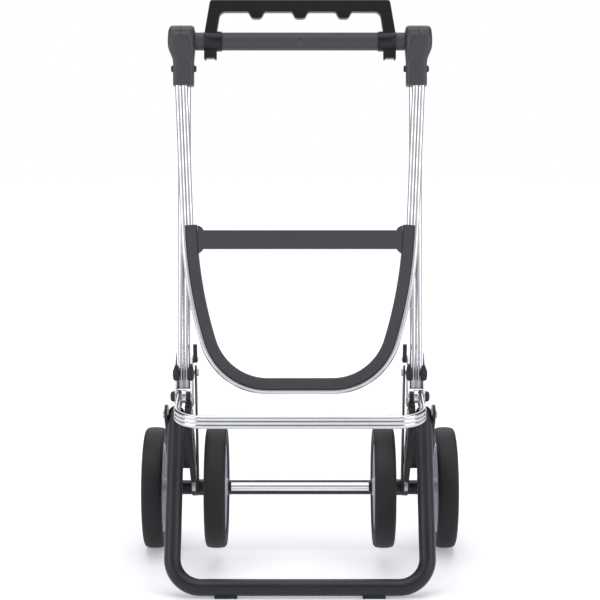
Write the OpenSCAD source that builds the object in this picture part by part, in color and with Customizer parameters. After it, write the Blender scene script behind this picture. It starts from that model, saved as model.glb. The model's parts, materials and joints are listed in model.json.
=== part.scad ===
// Folding four-wheel trolley chassis, in millimetres.
// X is to the right, Y away from the bag side, Z up. The floor is Z = 0.

/* [Upper frame] */
// Distance of each straight tube from the middle
tube_x = 181; // [175:1:186]
// Lean of the tubes to the rear, in degrees
lean = 8; // [7:0.5:9]
// Height of the lower tube ends
joint_z = 294; // [292:1:296]
// Length of the straight tubes
tube_length = 520; // [505:5:525]
// Height of the cross bar above the tube ends, along the tubes
crossbar_up = 542.7; // [540:1:545]
// Radius of the cross bar
crossbar_r = 14.1; // [13.5:0.1:14.5]

/* [Base] */
// Radius of the outer wheels
outer_wheel_r = 100; // [98:1:102]
// Radius of the inner wheels
inner_wheel_r = 97; // [94:1:98]
// Width of the tyres
tyre_w = 33.5; // [30:0.5:34]
// Rear distance of the outer wheels' axle
axle_y = 106.5; // [104:0.5:108]
// Radius of the axle tube
axle_tube_r = 12; // [11:0.5:12]
// Radius of the front foot tube
foot_r = 12.7; // [12:0.1:12.7]
// Distance of each foot leg from the middle
foot_x = 192.2; // [192:0.1:192.5]

/* [Hidden] */
$fn = 48;

gap = 0.05;            // running clearance
joint_y = -50;         // lower tube ends
lobe_r = 5.4;          // lobes of the straight tubes
lobe_x = 4.5;
tube_wall = 1.5;
frame_y = -12.4;       // back frame plane, in front of the tubes
frame_lobe_r = 5.2;
frame_lobe_x = 4.8;
bend_r = 100;          // back frame's bottom bends
bend_flat = 50;
bend_angle = 17;       // where the tight bend ends
side_r = 700;          // back frame's slow side bends
side_angle = 2.4;
side_cx = bend_flat - (side_r - bend_r) * cos(bend_angle);
side_cz = bend_r + (side_r - bend_r) * sin(bend_angle);
leg_top_x = side_cx + side_r * cos(side_angle);
leg_top_z = side_cz - side_r * sin(side_angle);
leg_run = 246;         // straight run above the bends
midbar_z = [216, 245];
tube_bolt = [-46.7, 317.8];      // lower joint, as Y and Z
hoop_pivot = [-72, 284];
leg_bolt = [-46, 272];
foot_pivot = [-66, 256];
axle = [axle_y, outer_wheel_r];
fork_axle = [-8.5, 127];
foot_bar = [-193.8, foot_r + 2.5];
foot_run = norm(foot_bar - foot_pivot);
foot_angle = atan2(foot_pivot[0] - foot_bar[0], foot_pivot[1] - foot_bar[1]);
foot_bend = 44;
leg_run_2 = norm(axle - foot_pivot);
leg_angle = atan2(axle[0] - foot_pivot[0], foot_pivot[1] - axle[1]);
plate_out = [191, 193.2];        // side plates, as X ranges
plate_in = [166.8, 169];
hoop_tilt = 7.6;
hoop_run = 128;
hoop_bend = 45;
hoop_end_x = 185.5;
hoop_lobe_r = 4.2;
wheel_x = 239.7;
inner_x = 132.6;
hub_r = 75;

module upper() { translate([0, joint_y, joint_z]) rotate([-lean, 0, 0]) children(); }
module side(s) { if (s > 0) children(); else mirror([1, 0, 0]) children(); }
module both() { for (s = [-1, 1]) side(s) children(); }
// A Y-Z outline as a plate between two X places
module plate(x0, x1) { translate([x0, 0, 0]) rotate([90, 0, 90]) linear_extrude(x1 - x0) children(); }
// A round bar along X at a Y-Z place
module rod_x(at, x0, x1, r) { translate([x0, at[0], at[1]]) rotate([0, 90, 0]) cylinder(r = r, h = x1 - x0); }
module link(a, b, ra, rb) {
    turn = atan2(b[1] - a[1], b[0] - a[0]);
    run = norm(b - a);
    tip = asin((ra - rb) / run);
    translate(a) circle(ra);
    translate(b) circle(rb);
    translate(a) rotate(turn) polygon([
        [ra * sin(tip), ra * cos(tip)], [run + rb * sin(tip), rb * cos(tip)],
        [run + rb * sin(tip), -rb * cos(tip)], [ra * sin(tip), -ra * cos(tip)]]);
}
module disc_x(at, points) { translate([0, at[0], at[1]]) rotate([90, 0, 90]) rotate_extrude() polygon(points); }
// A domed button or cap along X: flat at x0, domed towards x1
module dome_x(at, x0, x1, r) {
    h = x1 - x0;
    disc_x(at, [for (p = [[0, 0], [r, 0], [r, 0.45], [0.86 * r, 0.8], [0.55 * r, 0.97], [0, 1]])
        [p[0], x0 + p[1] * h]]);
}

// ---- Straight tubes ----
module tube_outline(grow = 0) {
    for (s = [-1, 1]) translate([s * lobe_x, 0]) circle(lobe_r + grow);
    square([2 * lobe_x, 2 * (lobe_r - 1.6 + grow)], center = true);
}
module tube_hollow() {
    for (s = [-1, 1]) translate([s * lobe_x, 0]) circle(lobe_r - tube_wall);
    square([2 * lobe_x, 5.4], center = true);
}
module tube(s) color("gainsboro") side(s) difference() {
    upper() translate([tube_x, 0, 0]) difference() {
        linear_extrude(tube_length) tube_outline();
        translate([0, 0, -1]) linear_extrude(tube_length + 2) tube_hollow();
    }
    rod_x(tube_bolt, tube_x - 15, tube_x + 15, 3 + gap);
}
module tube_plugs() color("dimgray") both() upper() translate([tube_x, 0, 0]) {
    translate([0, 0, -1.6]) linear_extrude(1.5) tube_outline();
    translate([0, 0, -0.1]) linear_extrude(10) {
        for (s = [-1, 1]) translate([s * lobe_x, 0]) circle(lobe_r - tube_wall - gap);
        square([2 * lobe_x, 5.2], center = true);
    }
}

// ---- Back frame: a two-lobed profile bent to a U ----
lobe_step = 30;
frame_outline = concat(
    [for (a = [-135:lobe_step:135]) frame_lobe_r * [cos(a), sin(a)] + [frame_lobe_x, 0]],
    [for (a = [45:lobe_step:315]) frame_lobe_r * [cos(a), sin(a)] - [frame_lobe_x, 0]]);
// The liner wraps the profile's inner lobe; x runs outward from the slot
liner_y = 7.2;
liner_x = [-15.5, 1.6];
liner_edge = 3;
liner_bore = frame_lobe_r + gap;
// Outer points, then as many inner points in the opposite order
liner_outline = concat(
    [for (x = [liner_x[1], -3.4, -8, liner_x[0] + liner_edge]) [x, liner_y]],
    [[liner_x[0], liner_y - liner_edge], [liner_x[0], liner_edge - liner_y]],
    [for (x = [liner_x[0] + liner_edge, -8, -3.4, liner_x[1]]) [x, -liner_y]],
    [[liner_x[1], -liner_bore]],
    [for (a = [285:-lobe_step:75]) liner_bore * [cos(a), sin(a)] - [frame_lobe_x, 0]],
    [[liner_x[1], liner_bore]]);
// Stations of the right half as X, Z and outward angle
function bent_path(top) = concat(
    [for (a = [-90:3.65:-bend_angle - 1])
        [bend_flat + bend_r * cos(a), bend_r + bend_r * sin(a), a]],
    [for (a = [-bend_angle:1.46:-side_angle - 0.5])
        [side_cx + side_r * cos(a), side_cz + side_r * sin(a), a]],
    [for (run = [0, top])
        [leg_top_x + run * sin(side_angle), leg_top_z + run * cos(side_angle), -side_angle]]);
function mirrored(path) = [for (i = [len(path) - 1:-1:0])
    [-path[i][0], path[i][1], 180 - path[i][2]]];
function ring(at, outline) =
    [for (q = outline) [at[0] + q[0] * cos(at[2]), q[1], at[1] + q[0] * sin(at[2])]];
// The ends are closed by the faces in cap, given as indices of the outline's points
module sweep(path, outline, cap) {
    n = len(outline);
    last = n * (len(path) - 1);
    polyhedron([for (at = path) each ring(at, outline)], concat(
        cap,
        [for (face = cap) [for (i = [len(face) - 1:-1:0]) last + face[i]]],
        [for (j = [0:n:last - 1]) for (i = [0:n - 1])
            [j + i, j + n + i, j + n + (i + 1) % n, j + (i + 1) % n]]));
}
module bent_run(outline, cap, top) {
    sweep(concat(mirrored(bent_path(top)), bent_path(top)), outline, cap);
}
module back_frame() color("gainsboro") upper() translate([0, frame_y, 0])
    bent_run(frame_outline, [[for (i = [0:len(frame_outline) - 1]) i]], leg_run);
liner_strips = [for (i = [0:len(liner_outline) / 2 - 2])
    [i, i + 1, len(liner_outline) - 2 - i, len(liner_outline) - 1 - i]];
module frame_liner() color([0.31, 0.31, 0.33]) upper() translate([0, frame_y, 0])
    bent_run(liner_outline, liner_strips, 7);
// The mid bar fits between the liner's legs and is open to the rear
function liner_inside(z) = side_cx + side_r * cos(asin((side_cz - z) / side_r)) + liner_x[0] - 0.25;
module mid_bar() color([0.31, 0.31, 0.33]) upper() translate([0, frame_y, 0]) difference() {
    translate([0, liner_y - 0.2, 0]) rotate([90, 0, 0]) linear_extrude(2 * liner_y - 0.4)
        polygon([[-liner_inside(midbar_z[0]), midbar_z[0]], [liner_inside(midbar_z[0]), midbar_z[0]],
            [liner_inside(midbar_z[1]), midbar_z[1]], [-liner_inside(midbar_z[1]), midbar_z[1]]]);
    translate([-145, 2, midbar_z[0] + 3]) cube([290, 8, midbar_z[1] - midbar_z[0] - 6]);
}

// ---- Knuckles ----
head_r = 25;
sleeve_z = [471.6, 524];
sleeve_x = [165.6, 198.4];
sleeve_y = [-20.6, 8.6];
cap_split = 187.8;
module knuckle_body() {
    translate([0, 0, crossbar_up]) rotate([90, 0, 90]) rotate_extrude()
        polygon([[0, 164.4], [head_r - 4, 164.4], [head_r, 168], [head_r, 203],
            [head_r - 5, 207], [0, 207]]);
    translate([sleeve_x[0] + 5, sleeve_y[0], sleeve_z[0]])
        cube([sleeve_x[1] - sleeve_x[0] - 10, sleeve_y[1] - sleeve_y[0], sleeve_z[1] - sleeve_z[0]]);
    translate([sleeve_x[0], sleeve_y[0] + 5, sleeve_z[0]])
        cube([sleeve_x[1] - sleeve_x[0], sleeve_y[1] - sleeve_y[0] - 10, sleeve_z[1] - sleeve_z[0]]);
    for (x = [sleeve_x[0] + 5, sleeve_x[1] - 5]) for (y = [sleeve_y[0] + 5, sleeve_y[1] - 5])
        translate([x, y, sleeve_z[0]]) cylinder(r = 5, h = sleeve_z[1] - sleeve_z[0]);
}
module knuckle_cuts() {
    translate([tube_x, 0, sleeve_z[0] - 1]) linear_extrude(tube_length - sleeve_z[0] + 1.2)
        tube_outline(gap);
    translate([leg_top_x, frame_y, leg_top_z]) rotate([0, side_angle, 0])
        translate([0, 0, sleeve_z[0] - leg_top_z - 4]) linear_extrude(30) {
            for (s = [-1, 1]) translate([s * frame_lobe_x, 0]) circle(frame_lobe_r + gap);
            square([2 * frame_lobe_x, 7.4], center = true);
        }
    rod_x([0, crossbar_up], 160, 188, 11.5 + gap);
    for (x = [sleeve_x[0] - 1, sleeve_x[1] - 2.9]) rod_x([button_y, button_z], x, x + 3.9, 5.4);
}
button_y = -4;
button_z = 499;
module cap_zone(grow) { translate([160, -40, crossbar_up - 14 - grow]) cube([cap_split - 160 + grow, 80, 60]); }
module knuckle_shell(s) color([0.31, 0.31, 0.33]) side(s) upper() difference() {
    knuckle_body();
    knuckle_cuts();
    cap_zone(0.1);
}
module knuckle_cap(s) color([0.33, 0.33, 0.35]) side(s) upper() difference() {
    intersection() { knuckle_body(); cap_zone(-0.1); }
    knuckle_cuts();
}
// Oval release buttons: the outer ones point outward, the inner ones inward
module button_shape(r = 5.2) {
    rod_x([button_y, button_z], 0, 2.6, r);
    rod_x([button_y, button_z], 2.5, 3.6, r - 1);
}
module button_outer(s) color([0.2, 0.2, 0.22]) side(s) upper()
    translate([sleeve_x[1] - 0.2, 0, 0]) button_shape();
module button_inner(s) color([0.2, 0.2, 0.22]) side(s) upper()
    translate([sleeve_x[0] + 0.2, 0, 0]) mirror([1, 0, 0]) button_shape();
module button_springs() color("silver") both() upper()
    for (x = [sleeve_x[0] + 2.45, sleeve_x[1] - 2.88]) difference() {
        rod_x([button_y, button_z], x, x + 0.42, 3);
        rod_x([button_y, button_z], x - 1, x + 4, 2.2);
    }

// ---- Cross bar and loop handle ----
module crossbar() color([0.31, 0.31, 0.33]) upper() difference() {
    union() {
        rod_x([0, crossbar_up], -163.8, 163.8, crossbar_r);
        rod_x([0, crossbar_up], -186, 186, 9);
    }
    translate([0, -20, crossbar_up]) rotate([-90, 0, 0]) cylinder(r = 2, h = 40);
    for (x = [-88:44:88]) translate([x - 1.2, -2, crossbar_up - crossbar_r - 1]) cube([2.4, 4, 2.2]);
}
module crossbar_bushes() color("ivory") both() upper() difference() {
    rod_x([0, crossbar_up], 164.6, 187.6, 11.5);
    rod_x([0, crossbar_up], 160, 190, 9 + gap);
}
loop_top = 607.2;
loop_depth = 15;
arm_w = 18;
// The loop seen from the bag side: the outer width is 283 at the top and 302 at the cross bar
module loop_outline() {
    difference() {
        union() {
            polygon([[-151, crossbar_up], [-142.2, loop_top - 4], [-138.5, loop_top],
                [138.5, loop_top], [142.2, loop_top - 4], [151, crossbar_up]]);
            for (s = [-1, 1]) translate([s * 142.4, crossbar_up]) square([17.2, 50], center = true);
        }
        difference() {
            polygon([[-133, crossbar_up - 30], [-133, crossbar_up], [-125.5, loop_top - 20],
                [125.5, loop_top - 20], [133, crossbar_up], [133, crossbar_up - 30]]);
            for (s = [-1, 1]) difference() {
                translate([s * 121.5, loop_top - 26]) square([14, 14], center = true);
                translate([s * 113, loop_top - 33.2]) circle(13.2);
            }
        }
    }
}
module loop_handle() color([0.13, 0.13, 0.14]) upper() difference() {
    union() {
        translate([0, loop_depth / 2, 0]) rotate([90, 0, 0]) linear_extrude(loop_depth) loop_outline();
        both() translate([0, 0, 0]) rod_x([0, crossbar_up], 132.5, 158.5, crossbar_r + 1.6);
        for (x = [-68.3, 0, 68.3]) translate([x, 7, loop_top - 17.4]) rotate([90, 0, 0])
            cylinder(r = 13.6, h = 14);
    }
    rod_x([0, crossbar_up], -170, 170, crossbar_r + gap);
    for (x = [-68.3, 0, 68.3]) for (i = [-2:2])
        translate([x + i * 4 - 0.6, -8, loop_top - 40]) cube([1.2, 2.2, 17.6]);
    both() rod_y(142.4, crossbar_up - 20, 2.5 + gap, 20);
}
module rod_y(x, z, r, half) { translate([x, half, z]) rotate([90, 0, 0]) cylinder(r = r, h = 2 * half); }
module handle_screws() color("silver") both() upper() {
    rod_y(142.4, crossbar_up - 20, 2.5, 7.7);
    translate([142.4, 9.1, crossbar_up - 20]) rotate([90, 0, 0]) cylinder(r = 4.2, h = 1.5);
}

// ---- Lower joints ----
lever_pin = [-45, 338];
// Points round a place, from one angle to another
function arc(at, r, from, to, steps) =
    [for (i = [0:steps]) at + r * [cos(from + (to - from) * i / steps), sin(from + (to - from) * i / steps)]];
lower_corners = concat(arc(hoop_pivot, 10, 145, 244, 5), arc(leg_bolt, 9, 247, 358, 5));
module joint_holes() {
    translate(tube_bolt) circle(3 + gap);
    translate(hoop_pivot) circle(4 + gap);
    translate(leg_bolt) circle(3 + gap);
}
module side_plates() color("darkgray") both() {
    plate(plate_out[0], plate_out[1]) difference() {
        polygon(concat(arc(tube_bolt, 10, 2, 141, 6), lower_corners));
        joint_holes();
    }
    plate(plate_in[0], plate_in[1]) difference() {
        polygon(concat(arc(lever_pin, 6, 5, 175, 7), [tube_bolt + [-8, 5.5]], lower_corners));
        joint_holes();
        translate(lever_pin) circle(2 + gap);
    }
}
module pod(x, spike) {
    tail = spike ? [[1.3, 37], [0.5, 54]] : [[1.3, 37]];
    translate([x, -15.5, 0]) rotate_extrude()
        polygon(concat([[0, 11], [3.4, 11.6], [5, 14], [5.7, 20], [5.5, 26], [3.4, 32]], tail,
            [[0, spike ? 55 : 38]]));
}
module upper_joint_caps() color([0.13, 0.13, 0.14]) both() difference() {
    upper() { pod(192.1, true); pod(169.9, false); }
    plate(plate_out[0] - 0.05, plate_out[1] + 0.05) link(tube_bolt, hoop_pivot, 10.05, 10.05);
    plate(plate_in[0] - 0.05, plate_in[1] + 0.05) link(tube_bolt, hoop_pivot, 10.05, 10.05);
    plate(plate_in[0] - 0.05, plate_in[1] + 0.05) link(tube_bolt, lever_pin, 10.1, 6.4);
}
module tube_bolts() color("silver") both() {
    rod_x(tube_bolt, 160, 195.6, 3);
    rod_x(tube_bolt, 193.3, 196.4, 5.5);
    rod_x(tube_bolt, 157.8, 160.9, 5.5);
}
module lower_joint_caps() color([0.13, 0.13, 0.14]) both() {
    difference() {
        dome_x(hoop_pivot, 193.25, 200.8, 8.2);
        rod_x(hoop_pivot, 190, 196.1, 5.6);
    }
    difference() {
        rod_x(hoop_pivot, 169.1, 175.6, 8);
        rod_x(hoop_pivot, 160, 180, 4 + gap);
    }
}
module hoop_bolts() color("silver") both() {
    rod_x(hoop_pivot, 165.9, 193.3, 4);
    rod_x(hoop_pivot, 193.25, 196, 5.5);
    rod_x(hoop_pivot, 165.9, 166.7, 5.5);
}
lever_tip = [-50, 359];
module finger_lever(s) color([0.2, 0.2, 0.22]) side(s) difference() {
    plate(160.2, 166.4) {
        translate(lever_pin) circle(5.5);
        translate(lever_tip) circle(3.6);
        translate(lever_pin) rotate(atan2(lever_tip[1] - lever_pin[1], lever_tip[0] - lever_pin[0]))
            translate([0, -3]) square([norm(lever_tip - lever_pin), 6]);
    }
    rod_x(lever_pin, 150, 170, 2 + gap);
}
module lever_pins() color("silver") both() {
    rod_x(lever_pin, 159.4, 169, 2);
    rod_x(lever_pin, 158.6, 160, 3.4);
}

// ---- Shelf hoop, a three-lobed band ----
module hoop_outline() {
    for (z = [-6, 0, 6]) translate([0, z]) circle(hoop_lobe_r, $fn = 48);
    square([6, 12], center = true);
}
module shelf_hoop() color("gainsboro") translate([0, hoop_pivot[0], hoop_pivot[1]])
    rotate([hoop_tilt, 0, 0]) difference() {
        union() {
            translate([hoop_bend - hoop_end_x, -hoop_run, 0]) rotate([90, 0, 90])
                linear_extrude(2 * (hoop_end_x - hoop_bend)) hoop_outline();
            both() {
                translate([hoop_end_x - hoop_bend, hoop_bend - hoop_run, 0]) rotate([0, 0, -90])
                    rotate_extrude(angle = 90, $fn = 180) translate([hoop_bend, 0])
                        hoop_outline();
                translate([hoop_end_x, 0, 0]) rotate([90, 0, 0])
                    linear_extrude(hoop_run - hoop_bend) hoop_outline();
                rod_x([0, 0], 176, 189.5, 10.2);
            }
        }
        both() rod_x([0, 0], 170, 192, 4 + gap);
    }

// ---- Rear legs and the outer wheels' axle ----
// A leg's own frame: u runs from the foot pivot to the axle, v to the rear
module leg_frame() { translate(foot_pivot) rotate(leg_angle - 90) children(); }
leg_end = [leg_run_2, 0];
leg_ear = [4.1, 25.3];          // the leg bolt's place in the leg's frame
module leg_wall(ear) {
    difference() {
        leg_frame() polygon(concat(arc(leg_end, 14, -90, 60, 8), [[200, 18.5], [30, 20.5]],
            ear ? arc(leg_ear, 9.5, 0, 180, 8) : [[8, 21]], arc([0, 0], 14, 130, 270, 7)));
        translate(foot_pivot) circle(4 + gap);
        translate(axle) circle(axle_tube_r + gap);
    }
}
module rear_leg(s) color([0.17, 0.18, 0.2]) side(s) difference() {
    union() {
        plate(169.1, 178.8) leg_wall(true);
        plate(206, 210) leg_wall(false);
        plate(175, 208) leg_frame() translate([24, 15.2]) square([172, 2.6]);
        plate(159, 178) difference() {
            translate(axle) circle(13.4);
            translate(axle) circle(axle_tube_r + gap);
        }
    }
    rod_x(leg_bolt, 160, 200, 3 + gap);
    for (x = [171.4, 175]) plate(x, x + 1.6) leg_frame()
        translate([16, -20]) square([leg_run_2 - 36, 9.5]);
    for (u = [60:36:170]) plate(168, 170.2) leg_frame() translate([u, -7]) square([24, 18]);
}
module leg_bolts() color("silver") both() {
    rod_x(leg_bolt, 165.9, 193.3, 3);
    rod_x(leg_bolt, 193.25, 196, 5);
    rod_x(leg_bolt, 165.9, 166.7, 5);
}
module axle_tube() color([0.13, 0.13, 0.14]) difference() {
    rod_x(axle, -218.4, 218.4, axle_tube_r);
    rod_x(axle, -220, 220, 5 + gap);
}
module axle_rod() color("silver") rod_x(axle, -262, 262, 5);
module axle_washers() color("silver") both() difference() {
    rod_x(axle, 218.5, 219.8, 11);
    rod_x(axle, 215, 225, 5 + gap);
}
module axle_caps() color([0.13, 0.13, 0.14]) both() difference() {
    dome_x(axle, 257.2, 264.6, 10);
    rod_x(axle, 250, 262.05, 5);
}

// ---- Wheels ----
function tyre_points(r, w) = [[hub_r + gap, -w / 2 + 4], [hub_r + 5, -w / 2 + 1], [r - 9, -w / 2],
    [r - 3, -w / 2 + 2.2], [r - 0.6, -w / 2 + 7], [r, 0], [r - 0.6, w / 2 - 7],
    [r - 3, w / 2 - 2.2], [r - 9, w / 2], [hub_r + 5, w / 2 - 1], [hub_r + gap, w / 2 - 4]];
module tyre(at, x, r) color([0.18, 0.18, 0.19]) translate([x, 0, 0]) disc_x(at, tyre_points(r, tyre_w));
module hub(at, x, bore, ends) color([0.78, 0.78, 0.83]) difference() {
    translate([x, 0, 0]) disc_x(at, [[bore, ends[0]], [13, ends[0]], [14.5, ends[0] + 5], [15, -3.4],
        [66, -3.4], [68, -13], [hub_r, -13], [hub_r, 13], [68, 13], [66, 3.4],
        [15, 3.4], [14.5, ends[1] - 5], [13, ends[1]], [bore, ends[1]]]);
    for (i = [0:5]) rod_x(at + 42 * [cos(60 * i), sin(60 * i)], x - 6, x + 6, 14);
}
outer_ends = [-19.6, 17.4];
inner_ends = [-17.6, 18];

// ---- Fork of the inner wheels ----
module fork_arms() color([0.17, 0.18, 0.2]) both() {
    difference() {
        union() {
            plate(161.2, 163.9) link(tube_bolt, fork_axle, 11, 13);
            rod_x(fork_axle, 151.4, 166, 10);
        }
        rod_x(tube_bolt, 150, 170, 3 + gap);
        rod_x(fork_axle, 140, 170, 4 + gap);
    }
}
module fork_spacer() color("silver") difference() {
    rod_x(fork_axle, -109.4, 109.4, 6.6);
    rod_x(fork_axle, -120, 120, 4 + gap);
}
module fork_rod() color("silver") rod_x(fork_axle, -169.4, 169.4, 4);
module fork_collars() color([0.13, 0.13, 0.14]) both() difference() {
    rod_x(fork_axle, 109.5, 114.6, 9.2);
    rod_x(fork_axle, 105, 120, 4 + gap);
}
module fork_nuts() color("silver") both() difference() {
    rod_x(fork_axle, 166.1, 171.8, 7);
    rod_x(fork_axle, 160, 169.5, 4 + gap);
}

// ---- Front foot ----
module foot_frame() { translate([0, foot_pivot[0], foot_pivot[1]]) rotate([-foot_angle, 0, 0]) children(); }
module foot_tube() color([0.2, 0.21, 0.23]) foot_frame() difference() {
    union() {
        translate([foot_bend - foot_x, 0, -foot_run]) rotate([0, 90, 0])
            cylinder(r = foot_r, h = 2 * (foot_x - foot_bend));
        both() {
            translate([foot_x - foot_bend, 0, foot_bend - foot_run]) rotate([90, 0, 0])
                rotate([0, 0, -90]) rotate_extrude(angle = 90) translate([foot_bend, 0]) circle(foot_r);
            translate([foot_x, 0, foot_bend - foot_run]) cylinder(r = foot_r, h = foot_run - foot_bend);
            translate([foot_x, 0, 0]) sphere(foot_r);
        }
    }
    both() rod_x([0, 0], 170, 215, 4 + gap);
}
module foot_pads() color([0.1, 0.1, 0.1]) both() difference() {
    translate([94, foot_bar[0] - 9, 0]) cube([34, 18, 8]);
    rod_x(foot_bar, 90, 132, foot_r + gap);
}
module foot_bolts() color("silver") both() {
    rod_x(foot_pivot, 166.6, 212, 4);
    rod_x(foot_pivot, 210.05, 213, 6.5);
    rod_x(foot_pivot, 166, 169, 6.5);
}

tube(-1);  // tube_left
tube(1);  // tube_right
tube_plugs();
back_frame();
frame_liner();
mid_bar();
knuckle_shell(-1);  // knuckle_shell_left
knuckle_shell(1);  // knuckle_shell_right
knuckle_cap(-1);  // knuckle_cap_left
knuckle_cap(1);  // knuckle_cap_right
button_outer(-1);  // button_left_outer
button_inner(-1);  // button_left_inner
button_outer(1);  // button_right_outer
button_inner(1);  // button_right_inner
button_springs();
crossbar();
crossbar_bushes();
loop_handle();
handle_screws();
side_plates();
upper_joint_caps();
tube_bolts();
lower_joint_caps();
hoop_bolts();
finger_lever(-1);  // finger_lever_left
finger_lever(1);  // finger_lever_right
lever_pins();
shelf_hoop();
rear_leg(-1);  // rear_leg_left
rear_leg(1);  // rear_leg_right
leg_bolts();
axle_tube();
axle_rod();
axle_washers();
axle_caps();
side(-1) tyre(axle, wheel_x, outer_wheel_r);  // tyre_outer_left
tyre(axle, wheel_x, outer_wheel_r);  // tyre_outer_right
side(-1) hub(axle, wheel_x, 5.05, outer_ends);  // hub_outer_left
hub(axle, wheel_x, 5.05, outer_ends);  // hub_outer_right
side(-1) tyre(fork_axle, inner_x, inner_wheel_r);  // tyre_inner_left
tyre(fork_axle, inner_x, inner_wheel_r);  // tyre_inner_right
side(-1) hub(fork_axle, inner_x, 4.05, inner_ends);  // hub_inner_left
hub(fork_axle, inner_x, 4.05, inner_ends);  // hub_inner_right
fork_arms();
fork_spacer();
fork_rod();
fork_collars();
fork_nuts();
foot_tube();
foot_pads();
foot_bolts();
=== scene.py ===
import json
import math

import bmesh
import bpy
from mathutils import Matrix, Vector


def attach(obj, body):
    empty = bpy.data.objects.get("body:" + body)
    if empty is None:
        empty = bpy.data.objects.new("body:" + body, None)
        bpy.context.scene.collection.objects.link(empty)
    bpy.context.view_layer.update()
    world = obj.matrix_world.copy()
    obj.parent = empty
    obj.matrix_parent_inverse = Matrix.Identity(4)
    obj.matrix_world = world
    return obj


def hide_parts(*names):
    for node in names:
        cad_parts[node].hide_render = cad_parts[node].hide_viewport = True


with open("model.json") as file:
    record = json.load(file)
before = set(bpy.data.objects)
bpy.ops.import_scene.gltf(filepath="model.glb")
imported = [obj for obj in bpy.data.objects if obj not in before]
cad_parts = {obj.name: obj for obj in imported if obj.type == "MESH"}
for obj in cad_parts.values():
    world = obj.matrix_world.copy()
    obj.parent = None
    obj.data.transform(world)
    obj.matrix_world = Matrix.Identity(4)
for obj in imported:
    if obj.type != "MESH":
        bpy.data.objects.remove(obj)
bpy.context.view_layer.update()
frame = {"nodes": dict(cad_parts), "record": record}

bl_info = {
    "name": "Folding trolley chassis",
    "version": (1, 0, 0),
    "blender": (4, 5, 0),
    "location": "3D View > Sidebar > Trolley",
    "description": "Finishes and detailed pieces of a folding four-wheel trolley chassis",
    "category": "Object",
}

MM = 0.001
MERGE_DISTANCE = 1e-6
SHARP_DEGREES = 35.0
SIDES = ((-1, "left"), (1, "right"))

# ---- Places taken over from the frame, in millimetres ----
LEAN = math.radians(8.0)
UPPER = Matrix.Translation((0.0, -50.0, 294.0)) @ Matrix.Rotation(-LEAN, 4, "X")
HOOP = Matrix.Translation((0.0, -72.0, 284.0)) @ Matrix.Rotation(math.radians(7.6), 4, "X")
TUBE_X = 181.0
TUBE_LENGTH = 520.0
# Lobed outlines: number of lobes, their spacing and radius, half the web's thickness
TUBE_LOBES = (2, 9.0, 5.4, 3.0)
FRAME_LOBES = (2, 9.6, 5.2, 2.4)
HOOP_LOBES = (3, 6.0, 4.2, 3.0)
# The back frame: a flat bottom, a tight bend, a wide bend, then two straight legs
FRAME_Y = -12.4
BEND_FLAT = 50.0
BEND_R = 100.0
BEND_DEGREES = 17.0
BEND_STEP = 2.92
BEND_ANGLE = math.radians(BEND_DEGREES)
SIDE_R = 700.0
SIDE_DEGREES = 2.4
SIDE_STEP = 0.73
SIDE_ANGLE = math.radians(SIDE_DEGREES)
SIDE_CX = BEND_FLAT - (SIDE_R - BEND_R) * math.cos(BEND_ANGLE)
SIDE_CZ = BEND_R + (SIDE_R - BEND_R) * math.sin(BEND_ANGLE)
LEG_TOP = (SIDE_CX + SIDE_R * math.cos(SIDE_ANGLE), SIDE_CZ - SIDE_R * math.sin(SIDE_ANGLE))
LEG_RUN = 246.0
LINER_RUN = 7.0
CROSSBAR_UP = 542.7
LOOP_TOP = 607.2
LOOP_HALF_DEPTH = 8.0
GRIP_UNDERSIDE = 588.4
FINGER_BUMP_X = 68.3
# Wheels: name, X, Y and Z of the right one's middle, and radius
WHEELS = (("outer", 239.7, 106.5, 100.0, 100.0), ("inner", 132.6, -8.5, 127.0, 97.0))


# ---- Sizes and colours that a user would change ----
class TrolleyFinish(bpy.types.PropertyGroup):
    """Colours and roughness of the finishes"""

    aluminium: bpy.props.FloatVectorProperty(
        name="Aluminium", description="Colour of the polished aluminium",
        default=(0.64, 0.65, 0.67), size=3, subtype="COLOR", min=0.0, max=1.0)
    grey_plastic: bpy.props.FloatVectorProperty(
        name="Grey plastic", description="Colour of the liner, knuckles and cross bar",
        default=(0.052, 0.053, 0.059), size=3, subtype="COLOR", min=0.0, max=1.0)
    handle_plastic: bpy.props.FloatVectorProperty(
        name="Handle plastic", description="Colour of the loop handle",
        default=(0.007, 0.0075, 0.009), size=3, subtype="COLOR", min=0.0, max=1.0)
    leg_plastic: bpy.props.FloatVectorProperty(
        name="Leg plastic", description="Colour of the rear legs and wheel fork",
        default=(0.013, 0.014, 0.017), size=3, subtype="COLOR", min=0.0, max=1.0)
    coat: bpy.props.FloatVectorProperty(
        name="Powder coat", description="Colour of the foot and axle tubes",
        default=(0.017, 0.019, 0.024), size=3, subtype="COLOR", min=0.0, max=1.0)
    tyre: bpy.props.FloatVectorProperty(
        name="Tyre rubber", description="Colour of the tyres",
        default=(0.013, 0.0135, 0.016), size=3, subtype="COLOR", min=0.0, max=1.0)
    hub: bpy.props.FloatVectorProperty(
        name="Hub plastic", description="Colour of the wheel hubs",
        default=(0.52, 0.52, 0.60), size=3, subtype="COLOR", min=0.0, max=1.0)
    polish: bpy.props.FloatProperty(
        name="Polish", description="Roughness of the polished aluminium",
        default=0.16, min=0.05, max=0.6, subtype="FACTOR")


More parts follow.
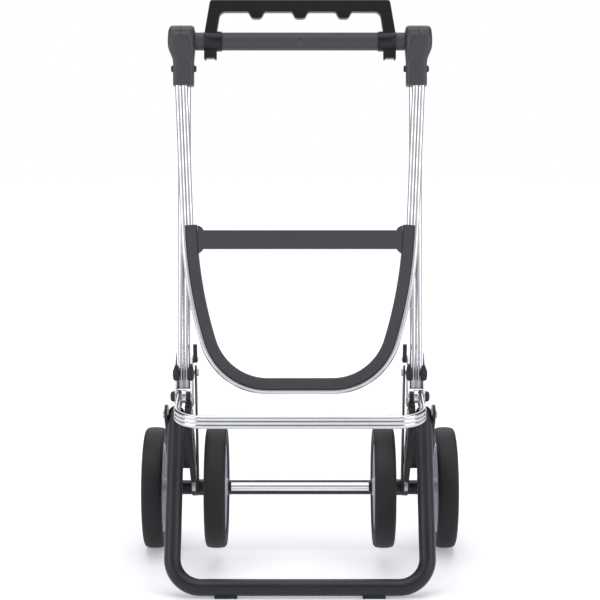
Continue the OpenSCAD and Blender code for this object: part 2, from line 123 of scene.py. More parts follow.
class TrolleyStage(bpy.types.PropertyGroup):
    """Camera, floor and light"""

    distance: bpy.props.FloatProperty(
        name="Camera distance", description="Distance of the camera from the chassis",
        default=2.705, min=1.0, max=6.0, unit="LENGTH")
    height: bpy.props.FloatProperty(
        name="Camera height", description="Height of the camera above the floor",
        default=0.739, min=0.1, max=2.0, unit="LENGTH")
    pitch: bpy.props.FloatProperty(
        name="Camera pitch", description="Angle by which the camera looks down",
        default=math.radians(6.6), min=0.0, max=1.0, unit="ROTATION")
    lens: bpy.props.FloatProperty(
        name="Lens", description="Focal length of the camera in millimetres",
        default=103.3, min=20.0, max=200.0)
    light: bpy.props.FloatProperty(
        name="Light", description="Strength of the studio light",
        default=1.0, min=0.1, max=4.0, subtype="FACTOR")


# ---- Shader helpers ----
def new_group(name, inputs, outputs):
    """A shader node group with named inputs and outputs."""
    tree = bpy.data.node_groups.new(name, "ShaderNodeTree")
    for label, kind, value in inputs:
        socket = tree.interface.new_socket(label, in_out="INPUT", socket_type=kind)
        socket.default_value = value
    for label, kind in outputs:
        tree.interface.new_socket(label, in_out="OUTPUT", socket_type=kind)
    return tree, tree.nodes.new("NodeGroupInput"), tree.nodes.new("NodeGroupOutput")


def noise(tree, vector, scale, detail=2.0, rough=0.5):
    """A noise texture on a vector; scale is a number or a socket."""
    node = tree.nodes.new("ShaderNodeTexNoise")
    tree.links.new(vector, node.inputs["Vector"])
    if isinstance(scale, (int, float)):
        node.inputs["Scale"].default_value = scale
    else:
        tree.links.new(scale, node.inputs["Scale"])
    node.inputs["Detail"].default_value = detail
    node.inputs["Roughness"].default_value = rough
    return node.outputs["Fac"]


def math_node(tree, operation, a, b=None):
    """A math node whose inputs are numbers or sockets."""
    node = tree.nodes.new("ShaderNodeMath")
    node.operation = operation
    for index, value in enumerate((a, b)):
        if value is None:
            continue
        if isinstance(value, (int, float)):
            node.inputs[index].default_value = value
        else:
            tree.links.new(value, node.inputs[index])
    return node.outputs[0]


def mix_colour(tree, factor, a, b):
    """A colour mix whose inputs are colours or sockets."""
    node = tree.nodes.new("ShaderNodeMix")
    node.data_type = "RGBA"
    tree.links.new(factor, node.inputs["Factor"])
    for socket, value in ((node.inputs["A"], a), (node.inputs["B"], b)):
        if isinstance(value, tuple):
            socket.default_value = (*value, 1.0)
        else:
            tree.links.new(value, socket)
    return node.outputs["Result"]


def remap(tree, value, low, high, to_low, to_high):
    """A clamped range change; the target range may be sockets."""
    node = tree.nodes.new("ShaderNodeMapRange")
    tree.links.new(value, node.inputs["Value"])
    node.inputs["From Min"].default_value = low
    node.inputs["From Max"].default_value = high
    for label, end in (("To Min", to_low), ("To Max", to_high)):
        if isinstance(end, (int, float)):
            node.inputs[label].default_value = end
        else:
            tree.links.new(end, node.inputs[label])
    return node.outputs["Result"]


def moulded_grain_group():
    """Fine texture of moulded or coated surfaces, with soft cloudy patches, and upward faces
    mixed towards a lighter colour: partly dust, partly painted top light.
    """
    tree, given, out = new_group("Moulded grain", [
        ("Colour", "NodeSocketColor", (0.1, 0.1, 0.1, 1.0)),
        ("Painted top light and dirt colour", "NodeSocketColor", (0.3, 0.3, 0.3, 1.0)),
        ("Grain scale", "NodeSocketFloat", 1400.0),
        ("Roughness", "NodeSocketFloat", 0.45),
        ("Roughness spread", "NodeSocketFloat", 0.12),
        ("Painted top light and dirt", "NodeSocketFloat", 0.1),
    ], [("Colour", "NodeSocketColor"), ("Roughness", "NodeSocketFloat"),
        ("Height", "NodeSocketFloat")])
    place = tree.nodes.new("ShaderNodeTexCoord").outputs["Object"]
    grain = noise(tree, place, given.outputs["Grain scale"], 3.0, 0.6)
    patch = noise(tree, place, 16.0, 4.0, 0.55)
    speck = noise(tree, place, 420.0, 2.0, 0.7)
    normal = tree.nodes.new("ShaderNodeNewGeometry").outputs["Normal"]
    split = tree.nodes.new("ShaderNodeSeparateXYZ")
    tree.links.new(normal, split.inputs[0])
    # Upward faces are mixed towards the lighter colour: partly real dust, partly painted top
    # light.
    upward = remap(tree, split.outputs["Z"], 0.1, 1.0, 0.15, 1.0)
    painted_top_light_and_dirt = math_node(tree, "MULTIPLY", remap(tree, patch, 0.35, 0.75, 0.0, 1.0), upward)
    painted_top_light_and_dirt = math_node(tree, "MULTIPLY", painted_top_light_and_dirt, given.outputs["Painted top light and dirt"])
    dark = mix_colour(tree, remap(tree, speck, 0.3, 0.8, 0.0, 0.22),
                      given.outputs["Colour"], (0.0, 0.0, 0.0))
    colour = mix_colour(tree, painted_top_light_and_dirt, dark, given.outputs["Painted top light and dirt colour"])
    change = math_node(tree, "MULTIPLY", math_node(tree, "SUBTRACT", patch, 0.5),
                       given.outputs["Roughness spread"])
    change = math_node(tree, "ADD", change, math_node(
        tree, "MULTIPLY", math_node(tree, "SUBTRACT", grain, 0.5),
        given.outputs["Roughness spread"]))
    rough = math_node(tree, "ADD", given.outputs["Roughness"], change)
    tree.links.new(colour, out.inputs["Colour"])
    tree.links.new(rough, out.inputs["Roughness"])
    tree.links.new(grain, out.inputs["Height"])
    return tree


def drawn_metal_group():
    """Fine lines along a drawn or turned metal surface, with faint handling marks."""
    tree, given, out = new_group("Drawn metal", [
        ("Colour", "NodeSocketColor", (0.8, 0.8, 0.8, 1.0)),
        ("Line stretch", "NodeSocketVector", (900.0, 900.0, 9.0)),
        ("Roughness", "NodeSocketFloat", 0.18),
        ("Roughness spread", "NodeSocketFloat", 0.12),
        ("Tarnish", "NodeSocketFloat", 0.15),
    ], [("Colour", "NodeSocketColor"), ("Roughness", "NodeSocketFloat"),
        ("Height", "NodeSocketFloat")])
    place = tree.nodes.new("ShaderNodeTexCoord").outputs["Object"]
    stretch = tree.nodes.new("ShaderNodeVectorMath")
    stretch.operation = "MULTIPLY"
    tree.links.new(place, stretch.inputs[0])
    tree.links.new(given.outputs["Line stretch"], stretch.inputs[1])
    lines = noise(tree, stretch.outputs["Vector"], 1.0, 4.0, 0.6)
    cloud = noise(tree, place, 22.0, 5.0, 0.6)
    spots = noise(tree, place, 190.0, 2.0, 0.5)
    tarnish = math_node(tree, "MULTIPLY", remap(tree, cloud, 0.4, 0.75, 0.0, 1.0),
                        given.outputs["Tarnish"])
    tarnish = math_node(tree, "ADD", tarnish, remap(tree, spots, 0.66, 0.8, 0.0, 0.12))
    colour = mix_colour(tree, tarnish, given.outputs["Colour"], (0.30, 0.30, 0.31))
    change = math_node(tree, "MULTIPLY", math_node(tree, "SUBTRACT", lines, 0.45),
                       given.outputs["Roughness spread"])
    change = math_node(tree, "ADD", change, math_node(tree, "MULTIPLY", tarnish, 0.5))
    rough = math_node(tree, "ADD", given.outputs["Roughness"], change)
    tree.links.new(colour, out.inputs["Colour"])
    tree.links.new(rough, out.inputs["Roughness"])
    tree.links.new(lines, out.inputs["Height"])
    return tree


def finish_material(name, group, values, shader, bump, bump_distance=0.0002):
    """A material: one shared effect feeding a Principled shader and a bump."""
    material = bpy.data.materials.new(name)
    material.use_nodes = True
    tree = material.node_tree
    principled = tree.nodes["Principled BSDF"]
    effect = tree.nodes.new("ShaderNodeGroup")
    effect.node_tree = group
    for label, value in values.items():
        effect.inputs[label].default_value = value
    tree.links.new(effect.outputs["Colour"], principled.inputs["Base Color"])
    tree.links.new(effect.outputs["Roughness"], principled.inputs["Roughness"])
    for label, value in shader.items():
        principled.inputs[label].default_value = value
    node = tree.nodes.new("ShaderNodeBump")
    node.inputs["Strength"].default_value = bump
    node.inputs["Distance"].default_value = bump_distance
    tree.links.new(effect.outputs["Height"], node.inputs["Height"])
    tree.links.new(node.outputs["Normal"], principled.inputs["Normal"])
    return material


LOOKS = {}


def make_looks(finish):
    """Every finish of the chassis, by its slot or its place."""
    grain = moulded_grain_group()
    drawn = drawn_metal_group()

    def moulded(name, colour, rough, spread, scale, painted_top_light_and_dirt, painted_top_light_and_dirt_colour, bump, **shader):
        LOOKS[name] = finish_material(name, grain, {
            "Colour": (*colour, 1.0), "Painted top light and dirt colour": (*painted_top_light_and_dirt_colour, 1.0), "Grain scale": scale,
            "Roughness": rough, "Roughness spread": spread, "Painted top light and dirt": painted_top_light_and_dirt},
            {"Specular IOR Level": 0.3, **shader}, bump)

    def metal(name, colour, stretch, rough, spread, tarnish, bump, **shader):
        LOOKS[name] = finish_material(name, drawn, {
            "Colour": (*colour, 1.0), "Line stretch": stretch, "Roughness": rough,
            "Roughness spread": spread, "Tarnish": tarnish},
            {"Metallic": 1.0, **shader}, bump, 0.00005)

    along_z = (1500.0, 1500.0, 10.0)
    along_x = (10.0, 1500.0, 1500.0)
    alu = tuple(finish.aluminium)
    metal("polished_aluminium", alu, along_z, finish.polish, 0.16, 0.14, 0.25)
    metal("polished_hoop", alu, along_x, finish.polish, 0.16, 0.14, 0.25)
    metal("axle_chrome", (0.80, 0.81, 0.84), along_x, 0.08, 0.08, 0.08, 0.1)
    metal("zinc_steel", (0.58, 0.58, 0.57), (260.0, 260.0, 260.0), 0.34, 0.2, 0.35, 0.3)
    grey = tuple(finish.grey_plastic)
    moulded("grey_plastic", grey, 0.42, 0.16, 1500.0, 0.10, (0.22, 0.22, 0.23), 0.35)
    moulded("button_plastic", (0.035, 0.035, 0.041), 0.36, 0.14, 1700.0, 0.08,
            (0.2, 0.2, 0.21), 0.3)
    moulded("handle_plastic", tuple(finish.handle_plastic), 0.34, 0.14, 1300.0, 0.05,
            (0.12, 0.12, 0.13), 0.4)
    moulded("black_plastic", (0.016, 0.017, 0.019), 0.36, 0.15, 1500.0, 0.08,
            (0.15, 0.15, 0.16), 0.35)
    moulded("leg_plastic", tuple(finish.leg_plastic), 0.4, 0.18, 1300.0, 0.12,
            (0.2, 0.2, 0.21), 0.4)
    moulded("bush_plastic", (0.62, 0.6, 0.52), 0.35, 0.1, 1400.0, 0.1, (0.4, 0.39, 0.35), 0.2)
    moulded("coated_tube", tuple(finish.coat), 0.33, 0.14, 1900.0, 0.10, (0.16, 0.16, 0.17),
            0.45)
    # The tyre's high amount paints its upward faces lighter: painted top light, not wear or
    # dust.
    moulded("tyre_rubber", tuple(finish.tyre), 0.62, 0.2, 900.0, 0.32, (0.10, 0.10, 0.105),
            0.8)
    moulded("pad_rubber", (0.014, 0.014, 0.014), 0.7, 0.2, 800.0, 0.25, (0.1, 0.1, 0.1), 0.8)
    moulded("hub_plastic", tuple(finish.hub), 0.3, 0.12, 1500.0, 0.10, (0.36, 0.36, 0.38),
            0.2)


# ---- Mesh helpers; shapes are given in millimetres ----
def piece(name, points, faces, body, look, slot, nodes=(), place=None, sharp=SHARP_DEGREES,
          bevel=0.0):
    """A closed mesh made into a named piece that rides on a body."""
    mesh = bpy.data.meshes.new(name)
    turn = place or Matrix.Identity(4)
    mesh.from_pydata([turn @ Vector(p) * MM for p in points], [], faces)
    work = bmesh.new()
    work.from_mesh(mesh)
    bmesh.ops.remove_doubles(work, verts=work.verts, dist=MERGE_DISTANCE)
    bmesh.ops.recalc_face_normals(work, faces=work.faces)
    work.to_mesh(mesh)
    work.free()
    mesh.shade_smooth()
    mesh.set_sharp_from_angle(angle=math.radians(sharp))
    item = bpy.data.objects.new(name, mesh)
    bpy.context.scene.collection.objects.link(item)
    mesh.materials.append(LOOKS[look])
    if bevel:
        rounding = item.modifiers.new("rounding", "BEVEL")
        rounding.width = bevel * MM
        rounding.segments = 3
        rounding.limit_method = "ANGLE"
        rounding.angle_limit = math.radians(SHARP_DEGREES)
        rounding.harden_normals = True
    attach(item, body)
    if nodes:
        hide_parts(*nodes)
    return item


def ring_faces(n, m, closed=False):
    """Faces between m rings of n points each, with end caps unless the rings close up."""
    faces = [(j * n + i, j * n + (i + 1) % n, (j + 1) % m * n + (i + 1) % n, (j + 1) % m * n + i)
             for j in range(m if closed else m - 1) for i in range(n)]
    if not closed:
        faces += [tuple(range(n - 1, -1, -1)), tuple((m - 1) * n + i for i in range(n))]
    return faces


def swept(stations, outline, closed=False):
    """Points and faces of an outline carried along stations of (place, across, up)."""
    points = [at + across * u + up * v for at, across, up in stations for u, v in outline]
    return points, ring_faces(len(outline), len(stations), closed)


def plate_shape(outline, y0, y1):
    """An X-Z outline as a plate between two Y places."""
    n = len(outline)
    points = [Vector((x, y, z)) for y in (y0, y1) for x, z in outline]
    faces = [tuple(range(n)), tuple(range(2 * n - 1, n - 1, -1))]
    faces += [(i, n + i, n + (i + 1) % n, (i + 1) % n) for i in range(n)]
    return points, faces


def join(*shapes):
    """Several point and face lists as one."""
    points, faces = [], []
    for more, sides in shapes:
        base = len(points)
        points += list(more)
        faces += [tuple(base + i for i in side) for side in sides]
    return points, faces


def lobed(count, spacing, radius, web, step=15):
    """Outline of a row of round lobes joined by a web."""
    w = math.degrees(math.asin(web / radius))
    ends = [(k - (count - 1) / 2.0) * spacing for k in range(count)]

    def arc(centre, start, stop):
        steps = max(2, round((stop - start) / step))
        angles = [math.radians(start + (stop - start) * i / steps) for i in range(steps + 1)]
        return [(centre + radius * math.cos(a), radius * math.sin(a)) for a in angles]

    line = arc(ends[-1], w - 180.0, 180.0 - w)
    for c in reversed(ends[1:-1]):
        line += arc(c, w, 180.0 - w)
    line += arc(ends[0], w, 360.0 - w)
    for c in ends[1:-1]:
        line += arc(c, 180.0 + w, 360.0 - w)
    return line


def turned(profile, steps=96):
    """Points and faces of a profile of (radius, along X) turned about the X axis."""
    stations = [(Vector((0, 0, 0)), Vector((0, math.cos(a), math.sin(a))), Vector((1, 0, 0)))
                for a in [2.0 * math.pi * i / steps for i in range(steps)]]
    return swept(stations, profile, closed=True)


def mirrored(points):
    """Points on the other side of the middle."""
    return [Vector((-p[0], p[1], p[2])) for p in points]


def sided(shape, side):
    """A shape of the right side, or its mirror image for the left side."""
    return (mirrored(shape[0]) if side < 0 else shape[0]), shape[1]


def both_sides(shape):
    """A shape and its mirror image."""
    return join(shape, sided(shape, -1))


def frame_path(top):
    """Stations of the bent back frame, from the left leg's top to the right leg's top."""
    half = []
    for first, last, step, cx, cz, radius in (
            (-90.0, -BEND_DEGREES, BEND_STEP, BEND_FLAT, BEND_R, BEND_R),
            (-BEND_DEGREES, -SIDE_DEGREES, SIDE_STEP, SIDE_CX, SIDE_CZ, SIDE_R)):
        a = first
        while a < last - 0.01:
            t = math.radians(a)
            half.append((cx + radius * math.cos(t), cz + radius * math.sin(t), t))
            a += step
    s, c = math.sin(SIDE_ANGLE), math.cos(SIDE_ANGLE)
    for run in (0.0, top):
        half.append((LEG_TOP[0] + run * s, LEG_TOP[1] + run * c, -SIDE_ANGLE))
    whole = [(-x, z, math.pi - t) for x, z, t in reversed(half)] + half
    return [(Vector((x, FRAME_Y, z)), Vector((math.cos(t), 0, math.sin(t))), Vector((0, 1, 0)))
            for x, z, t in whole]


# ---- Stage ----
class TROLLEY_OT_stage(bpy.types.Operator):
    """Make the camera, the pale floor and the soft studio light"""

    bl_idname = "trolley.stage"
    bl_label = "Stage"

    def execute(self, context):
        stage = context.scene.trolley_stage
        camera = bpy.data.objects.new("camera", bpy.data.cameras.new("camera"))
        context.scene.collection.objects.link(camera)
        camera.location = (0.0, -stage.distance, stage.height)
        camera.rotation_euler = (math.pi / 2 - stage.pitch, 0.0, 0.0)
        camera.data.lens = stage.lens
        camera.data.sensor_width = 36.0
        context.scene.camera = camera
        context.scene.view_settings.view_transform = "Standard"
        self.floor(context)
        self.sky(context, stage.light)
        self.lamps(context, stage.light)
        return {"FINISHED"}

    def floor(self, context):
        """A wide plain pale floor."""
        mesh = bpy.data.meshes.new("floor")
        size = 14.0
        points = [(-size, -size, 0.0), (size, -size, 0.0), (size, size, 0.0), (-size, size, 0.0)]
        faces = [(0, 1, 2, 3)]
        mesh.from_pydata(points, [], faces)
        mesh.shade_smooth()
        floor = bpy.data.objects.new("floor", mesh)
        context.scene.collection.objects.link(floor)
        material = bpy.data.materials.new("floor")
        material.use_nodes = True
        tree = material.node_tree
        shader = tree.nodes["Principled BSDF"]
        shader.inputs["Base Color"].default_value = (0.80, 0.80, 0.83, 1.0)
        shader.inputs["Roughness"].default_value = 0.6
        shader.inputs["Emission Color"].default_value = (1.0, 1.0, 1.0, 1.0)
        place = tree.nodes.new("ShaderNodeTexCoord").outputs["Object"]
        away = tree.nodes.new("ShaderNodeVectorMath")
        away.operation = "LENGTH"
        tree.links.new(place, away.inputs[0])
        glow = remap(tree, away.outputs["Value"], 0.8, 5.0, 0.30, 0.74)
        tree.links.new(glow, shader.inputs["Emission Strength"])
        mesh.materials.append(material)

    def sky(self, context, light):
        """White light all round, with darker bands for metal to reflect."""
        world = bpy.data.worlds.new("studio")
        context.scene.world = world
        world.use_nodes = True
        tree = world.node_tree
        back = tree.nodes["Background"]
        back.inputs["Strength"].default_value = light
        place = tree.nodes.new("ShaderNodeTexCoord").outputs["Generated"]
        split = tree.nodes.new("ShaderNodeSeparateXYZ")
        tree.links.new(place, split.inputs[0])
        side = math_node(tree, "ABSOLUTE", split.outputs["X"])
        sideways = self.bands(tree, side, (
            (0.0, 0.62), (0.12, 0.9), (0.42, 0.9), (0.52, 0.05), (0.7, 0.07), (0.8, 0.7)))
        upward = self.bands(tree, split.outputs["Z"], (
            (0.0, 0.9), (0.36, 0.9), (0.44, 0.08), (0.66, 0.08), (0.74, 0.9), (1.0, 0.9)))
        both = tree.nodes.new("ShaderNodeMix")
        both.data_type = "RGBA"
        both.blend_type = "MULTIPLY"
        both.inputs["Factor"].default_value = 1.0
        tree.links.new(sideways, both.inputs["A"])
        tree.links.new(upward, both.inputs["B"])
        path = tree.nodes.new("ShaderNodeLightPath")
        seen = mix_colour(tree, path.outputs["Is Camera Ray"], both.outputs["Result"],
                          (1.0, 1.0, 1.0))
        tree.links.new(seen, back.inputs["Color"])

    def bands(self, tree, value, stops):
        """Light and dark bands along a direction."""
        ramp = tree.nodes.new("ShaderNodeValToRGB")
        tree.links.new(value, ramp.inputs[0])
        elements = ramp.color_ramp.elements
        elements[0].position = stops[0][0]
        elements[1].position = stops[-1][0]
        for position, _ in stops[1:-1]:
            elements.new(position)
        for element, (_, grey) in zip(elements, stops):
            element.color = (grey, grey, grey * 1.03, 1.0)
        return ramp.outputs["Color"]

    def lamps(self, context, light):
        """Large soft lamps above and at both sides."""
        for name, where, turn, size, power in (
                ("top", (0.0, -0.6, 3.2), (math.radians(-8), 0, 0), 3.2, 46.0),
                ("left", (-2.4, -1.6, 1.5), (math.radians(74), 0, math.radians(-56)), 2.0, 30.0),
                ("right", (2.4, -1.6, 1.5), (math.radians(74), 0, math.radians(56)), 2.0, 30.0),
                ("back", (0.0, 3.2, 2.6), (math.radians(-60), 0, 0), 3.0, 40.0)):
            lamp = bpy.data.lights.new("lamp_" + name, "AREA")
            lamp.shape = "SQUARE"
            lamp.size = size
            lamp.energy = power * light
            item = bpy.data.objects.new("lamp_" + name, lamp)
            item.location = where
            item.rotation_euler = turn
            context.scene.collection.objects.link(item)


class TROLLEY_OT_finishes(bpy.types.Operator):
    """Make every finish and give it to the pieces of the frame"""

    bl_idname = "trolley.finishes"
    bl_label = "Finishes"

    def execute(self, context):
        make_looks(context.scene.trolley_finish)
        slots = {part["node"]: part["material_slot"] for part in frame["record"]["subparts"]}
        for name, item in frame["nodes"].items():
            item.data.materials.clear()
            item.data.materials.append(LOOKS[slots[name]])
        return {"FINISHED"}


class TROLLEY_OT_tubes(bpy.types.Operator):
    """Make the two straight two-lobed tubes"""

    bl_idname = "trolley.tubes"
    bl_label = "Straight tubes"

    def execute(self, context):
        outline = lobed(*TUBE_LOBES)
        for side, name in SIDES:
            stations = [(Vector((side * TUBE_X, 0, z)), Vector((1, 0, 0)), Vector((0, 1, 0)))
                        for z in (0.0, TUBE_LENGTH / 2, TUBE_LENGTH)]
            points, faces = swept(stations, outline)
            piece("straight_tube_" + name, points, faces, "chassis", "polished_aluminium",
                  "polished_aluminium", ["tube_" + name], UPPER)
        return {"FINISHED"}


def liner_outline():
    """Outline of the liner: a cup round the frame's inner lobe, with two rounded corners."""
    cup, cup_x = 5.25, -4.8
    corner, corner_x, corner_y = 3.2, -12.2, 4.0
    line = [(1.6, cup), (1.6, 6.6), (1.0, 7.2)]
    for cy, start in ((corner_y, 90.0), (-corner_y, 180.0)):
        for i in range(7):
            t = math.radians(start + 15.0 * i)
            line.append((corner_x + corner * math.cos(t), cy + corner * math.sin(t)))
    line += [(1.0, -7.2), (1.6, -6.6), (1.6, -cup)]
    for i in range(15):
        t = math.radians(285.0 - 15.0 * i)
        line.append((cup_x + cup * math.cos(t), cup * math.sin(t)))
    return line


def mid_bar_sockets():
    """The two sockets where the mid bar meets the liner's legs."""
    corners = [(157.9, 209.0), (153.0, 212.6), (151.0, 215.4), (150.4, 218.0),
               (150.4, 245.6), (152.0, 249.0), (156.0, 251.6), (159.7, 252.6)]
    return join(*[plate_shape([(reach * x, z) for x, z in corners],
                              FRAME_Y - 7.5, FRAME_Y + 7.3) for reach in (1, -1)])


class TROLLEY_OT_back_frame(bpy.types.Operator):
    """Make the bent back frame, its liner and the sockets of the mid bar"""

    bl_idname = "trolley.back_frame"
    bl_label = "Back frame and liner"

    def execute(self, context):
        points, faces = swept(frame_path(LEG_RUN), lobed(*FRAME_LOBES))
        piece("bent_back_frame", points, faces, "chassis", "polished_aluminium",
              "polished_aluminium", ["back_frame"], UPPER)
        piece("mid_bar_sockets", *mid_bar_sockets(), "chassis", "grey_plastic",
              "grey_plastic", (), UPPER, bevel=0.9)
        points, faces = swept(frame_path(LINER_RUN), liner_outline())
        piece("back_frame_liner", points, faces, "chassis", "grey_plastic", "grey_plastic",
              ["frame_liner"], UPPER)
        return {"FINISHED"}


class TROLLEY_OT_hoop(bpy.types.Operator):
    """Make the polished three-lobed shelf hoop"""

    bl_idname = "trolley.hoop"
    bl_label = "Shelf hoop"

    def execute(self, context):
        reach, run, bend = 185.5, 128.0, 45.0
        half = []
        for i in range(13):
            t = math.radians(-90.0 + 7.5 * i)
            half.append((reach - bend + bend * math.cos(t), bend - run + bend * math.sin(t), t))
        half.append((reach, 0.0, 0.0))
        whole = [(-x, y, math.pi - t) for x, y, t in reversed(half)] + half
        stations = [(Vector((x, y, 0)), Vector((0, 0, 1)), Vector((math.cos(t), math.sin(t), 0)))
                    for x, y, t in whole]
        band = swept(stations, lobed(*HOOP_LOBES))
        eye = turned([(4.05, 176.6), (4.6, 176.0), (9.4, 176.0), (10.2, 176.8), (10.2, 188.7),
                      (9.4, 189.5), (4.6, 189.5), (4.05, 188.9)], 48)
        points, faces = join(band, both_sides(eye))
        piece("shelf_hoop_band", points, faces, "hoop", "polished_hoop", "polished_aluminium",
              ["shelf_hoop"], HOOP)
        return {"FINISHED"}


class TROLLEY_OT_tyres(bpy.types.Operator):
    """Make the four tyres with rounded treads and side beads"""

    bl_idname = "trolley.tyres"
    bl_label = "Tyres"

    def execute(self, context):
        for name, x, y, z, radius in WHEELS:
            half = [(75.1, 12.4), (76.2, 14.0), (78.5, 15.2), (80.5, 15.6), (81.2, 15.3),
                    (82.0, 15.7), (86.0, 16.5), (radius - 9.0, 16.75), (radius - 6.4, 16.5),
                    (radius - 4.0, 15.6), (radius - 2.4, 14.2), (radius - 1.3, 12.0),
                    (radius - 0.6, 9.0), (radius - 0.15, 5.0), (radius, 0.6)]
            profile = half + [(r, -w) for r, w in reversed(half)]
            shape = turned(profile, 128)
            for side, label in SIDES:
                place = Matrix.Translation((side * x, y, z))
                piece("tyre_tread_%s_%s" % (name, label), *shape, "wheel_%s_%s" % (name, label),
                      "tyre_rubber", "tyre_rubber", ["tyre_%s_%s" % (name, label)], place)
        return {"FINISHED"}


class TROLLEY_OT_hub_trim(bpy.types.Operator):
    """Make the raised rings and ribs of the four hubs"""

    bl_idname = "trolley.hub_trim"
    bl_label = "Hub rings"

    def execute(self, context):
        shape = self.rings_and_ribs()
        for name, x, y, z, _ in WHEELS:
            for side, label in SIDES:
                place = Matrix.Translation((side * x, y, z))
                piece("hub_rings_%s_%s" % (name, label), *shape,
                      "wheel_%s_%s" % (name, label), "hub_plastic", "hub_plastic", (), place)
        return {"FINISHED"}

    def rings_and_ribs(self):
        """Three rings and six ribs on each face of a hub."""
        parts = []
        for face in (1, -1):
            for inner, outer, low, high in ((63.0, 66.0, 3.0, 5.2), (25.2, 27.6, 3.0, 4.8),
                                            (70.4, 72.4, 12.6, 13.6)):
                parts.append(turned([
                    (inner, face * low), (inner + 0.3, face * (high - 0.5)),
                    (inner + 0.8, face * high), (outer - 0.8, face * high),
                    (outer - 0.3, face * (high - 0.5)), (outer, face * low)]))
            for k in range(6):
                a = math.radians(60.0 * k + 30.0)
                along = Vector((0, math.cos(a), math.sin(a)))
                aside = Vector((0, -math.sin(a), math.cos(a)))
                out = Vector((face, 0, 0))
                stations = [(along * r, aside, out) for r in (14.0, 40.0, 68.0)]
                parts.append(swept(stations, [(-1.3, 2.6), (1.3, 2.6), (0.8, 6.0), (-0.8, 6.0)]))
        return join(*parts)


# Rows of a knuckle: height along the tube, X from and to, Y from and to
KNUCKLE = (
    (471.6, 167.0, 197.0, -19.4, 7.4), (472.3, 166.0, 198.0, -20.3, 8.3),
    (473.4, 165.6, 198.4, -20.6, 8.6), (490.0, 165.6, 198.4, -20.6, 8.6),
    (508.0, 165.6, 198.4, -20.6, 8.6), (514.0, 165.4, 199.4, -20.8, 9.4),
    (520.0, 164.8, 201.8, -21.4, 11.4), (526.0, 164.5, 204.6, -22.4, 14.9),
    (532.0, 164.4, 206.5, -23.5, 19.6), (538.0, 164.4, 207.0, -24.6, 24.0),
    (542.7, 164.4, 207.0, -25.0, 25.0), (549.0, 164.4, 206.9, -24.2, 24.2),
    (555.0, 164.4, 206.5, -21.8, 21.8), (560.0, 164.7, 205.8, -18.1, 18.1),
    (564.0, 165.6, 204.6, -13.1, 13.1), (566.3, 167.0, 203.0, -8.4, 8.4),
    (567.4, 169.0, 200.8, -4.0, 4.0), (567.7, 171.5, 198.0, -1.2, 1.2))
KNUCKLE_ROUNDING = 4.2
KNUCKLE_STEPS = 72
SEAM_HALF_WIDTH = 0.32


def knuckle_row(z):
    """The extents of a knuckle at a height, between the rows."""
    for low, high in zip(KNUCKLE, KNUCKLE[1:]):
        if z <= high[0]:
            t = (z - low[0]) / (high[0] - low[0])
            t = max(0.0, min(1.0, t))
            return [a + (b - a) * t for a, b in zip(low, high)]
    return list(KNUCKLE[-1])


def knuckle_front(x, z):
    """The Y of a knuckle's front surface at a place."""
    _, x0, x1, y0, y1 = knuckle_row(z)
    across = min(1.0, abs(2.0 * (x - x0) / (x1 - x0) - 1.0))
    reach = (1.0 - across ** KNUCKLE_ROUNDING) ** (1.0 / KNUCKLE_ROUNDING)
    return (y0 + y1) / 2.0 - (y1 - y0) / 2.0 * reach


def knuckle_shape():
    """Points and faces of the right knuckle."""
    heights = [row[0] for row in KNUCKLE[:3]]
    heights += [474.0 + 3.0 * i for i in range(29)]
    heights += [row[0] for row in KNUCKLE[-6:]]
    e = 2.0 / KNUCKLE_ROUNDING
    points = []
    for z in heights:
        _, x0, x1, y0, y1 = knuckle_row(z)
        for i in range(KNUCKLE_STEPS):
            a = 2.0 * math.pi * i / KNUCKLE_STEPS
            c, s = math.cos(a), math.sin(a)
            u = math.copysign(abs(c) ** e, c)
            v = math.copysign(abs(s) ** e, s)
            points.append(Vector(((x0 + x1) / 2 + (x1 - x0) / 2 * u,
                                  (y0 + y1) / 2 + (y1 - y0) / 2 * v, z)))
    return points, ring_faces(KNUCKLE_STEPS, len(heights))


def knuckle_seam():
    """A thin dark line where the two halves of the right knuckle meet."""
    line = [(186.2, 566.0 - 1.5 * i) for i in range(13)]
    line += [(186.2 - 1.6 * i, 547.2 - 0.05 * i * i) for i in range(1, 6)]
    line += [(178.2 - 1.0 * i, 546.0 - 0.32 * i * i) for i in range(1, 9)]
    line += [(169.6 - 0.1 * i, 522.5 - 2.4 * i) for i in range(0, 6)]
    path = [Vector((x, knuckle_front(x, z) - 0.05, z)) for x, z in line]
    stations = []
    for i, at in enumerate(path):
        along = (path[min(i + 1, len(path) - 1)] - path[max(i - 1, 0)]).normalized()
        across = along.cross(Vector((0, 1, 0))).normalized()
        stations.append((at, across, along.cross(across)))
    w = SEAM_HALF_WIDTH
    return swept(stations, [(w, 0), (0, w), (-w, 0), (0, -w)])


class TROLLEY_OT_knuckles(bpy.types.Operator):
    """Make the two rounded knuckles with their seam lines"""

    bl_idname = "trolley.knuckles"
    bl_label = "Knuckles"

    def execute(self, context):
        body, seam = knuckle_shape(), knuckle_seam()
        for side, name in SIDES:
            piece("knuckle_body_" + name, *sided(body, side), "chassis", "grey_plastic",
                  "grey_plastic", ["knuckle_shell_" + name, "knuckle_cap_" + name], UPPER,
                  sharp=50.0)
            piece("knuckle_seam_" + name, *sided(seam, side), "chassis", "black_plastic",
                  "black_plastic", (), UPPER)
        return {"FINISHED"}


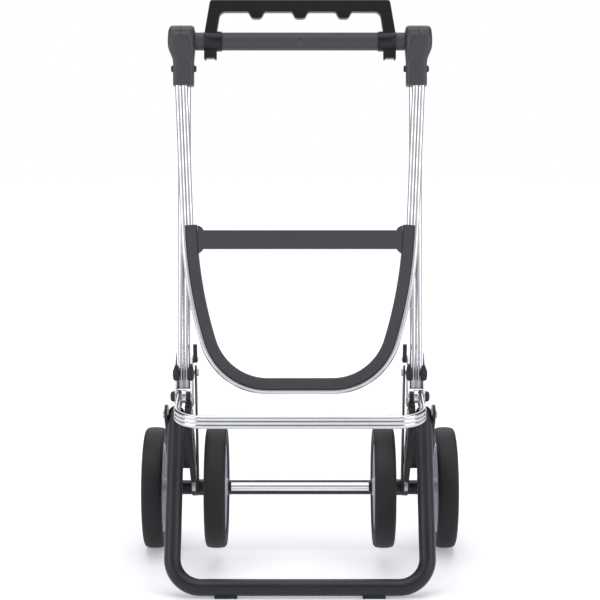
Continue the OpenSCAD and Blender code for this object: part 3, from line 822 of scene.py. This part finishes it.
class TROLLEY_OT_loop(bpy.types.Operator):
    """Make the loop handle with its finger bumps, saddles and clip feet"""

    bl_idname = "trolley.loop"
    bl_label = "Loop handle"

    def execute(self, context):
        half = [(0.0, LOOP_TOP), (138.0, LOOP_TOP), (140.4, LOOP_TOP - 1.2),
                (141.5, LOOP_TOP - 3.6), (149.6, 556.0), (150.2, 546.0), (150.2, 514.0),
                (147.6, 513.0), (146.6, 515.6), (134.0, 515.6), (133.0, 513.0), (130.6, 514.0),
                (130.6, 556.0), (129.4, 562.0), (127.0, 577.5)]
        for i in range(1, 7):
            a = math.radians(15.0 * i)
            half.append((116.6 + 10.2 * math.cos(a), 578.2 + 10.2 * math.sin(a)))
        bump = [(13.7, 0.0), (11.6, -2.0), (9.0, -7.4), (6.8, -9.6), (3.6, -10.4)]
        for c in (FINGER_BUMP_X, 0.0):
            half += [(c + x, GRIP_UNDERSIDE + z) for x, z in bump]
            if c:
                half += [(c - x, GRIP_UNDERSIDE + z) for x, z in reversed(bump)]
        outline = half + [(-x, z) for x, z in reversed(half) if x > 0.0]
        points, faces = plate_shape(outline, -LOOP_HALF_DEPTH, LOOP_HALF_DEPTH)
        piece("loop_grip", points, faces, "handle", "handle_plastic", "handle_plastic",
              ["loop_handle"], UPPER, sharp=30.0, bevel=1.5)
        saddle = turned([(14.2, 121.6), (15.7, 122.4), (15.8, 124.0), (15.8, 149.0),
                         (15.0, 150.2), (14.2, 150.2)], 64)
        saddle = ([p + Vector((0, 0, CROSSBAR_UP)) for p in saddle[0]], saddle[1])
        points, faces = both_sides(saddle)
        piece("loop_saddles", points, faces, "handle", "handle_plastic", "handle_plastic",
              (), UPPER)
        ribs = []
        for c in (-FINGER_BUMP_X, 0.0, FINGER_BUMP_X):
            for i in range(-2, 3):
                x = c + 2.8 * i
                low = GRIP_UNDERSIDE - (9.6 if abs(i) < 2 else 8.0)
                high = GRIP_UNDERSIDE - 0.6
                ribs.append(plate_shape([(x - 0.6, high), (x + 0.6, high), (x + 0.5, low),
                                         (x - 0.5, low)], -8.7, -7.8))
        points, faces = join(*ribs)
        piece("loop_ribs", points, faces, "handle", "handle_plastic", "handle_plastic",
              (), UPPER)
        return {"FINISHED"}


STEPS = (TROLLEY_OT_stage, TROLLEY_OT_finishes, TROLLEY_OT_tubes, TROLLEY_OT_back_frame,
         TROLLEY_OT_hoop, TROLLEY_OT_tyres, TROLLEY_OT_hub_trim, TROLLEY_OT_knuckles,
         TROLLEY_OT_loop)


class TROLLEY_PT_panel(bpy.types.Panel):
    """Lists the steps that make the chassis"""

    bl_idname = "TROLLEY_PT_panel"
    bl_label = "Trolley chassis"
    bl_space_type = "VIEW_3D"
    bl_region_type = "UI"
    bl_category = "Trolley"

    def draw(self, context):
        for step in STEPS:
            self.layout.operator(step.bl_idname)
        for group in (context.scene.trolley_finish, context.scene.trolley_stage):
            for name in group.bl_rna.properties.keys():
                if name not in ("rna_type", "name"):
                    self.layout.prop(group, name)


CLASSES = (TrolleyFinish, TrolleyStage, *STEPS, TROLLEY_PT_panel)


def register():
    for item in CLASSES:
        bpy.utils.register_class(item)
    bpy.types.Scene.trolley_finish = bpy.props.PointerProperty(type=TrolleyFinish)
    bpy.types.Scene.trolley_stage = bpy.props.PointerProperty(type=TrolleyStage)


def unregister():
    del bpy.types.Scene.trolley_stage
    del bpy.types.Scene.trolley_finish
    for item in reversed(CLASSES):
        bpy.utils.unregister_class(item)


def main():
    register()
    for step in STEPS:
        group, action = step.bl_idname.split(".")
        getattr(getattr(bpy.ops, group), action)()


if __name__ == "__main__":
    main()
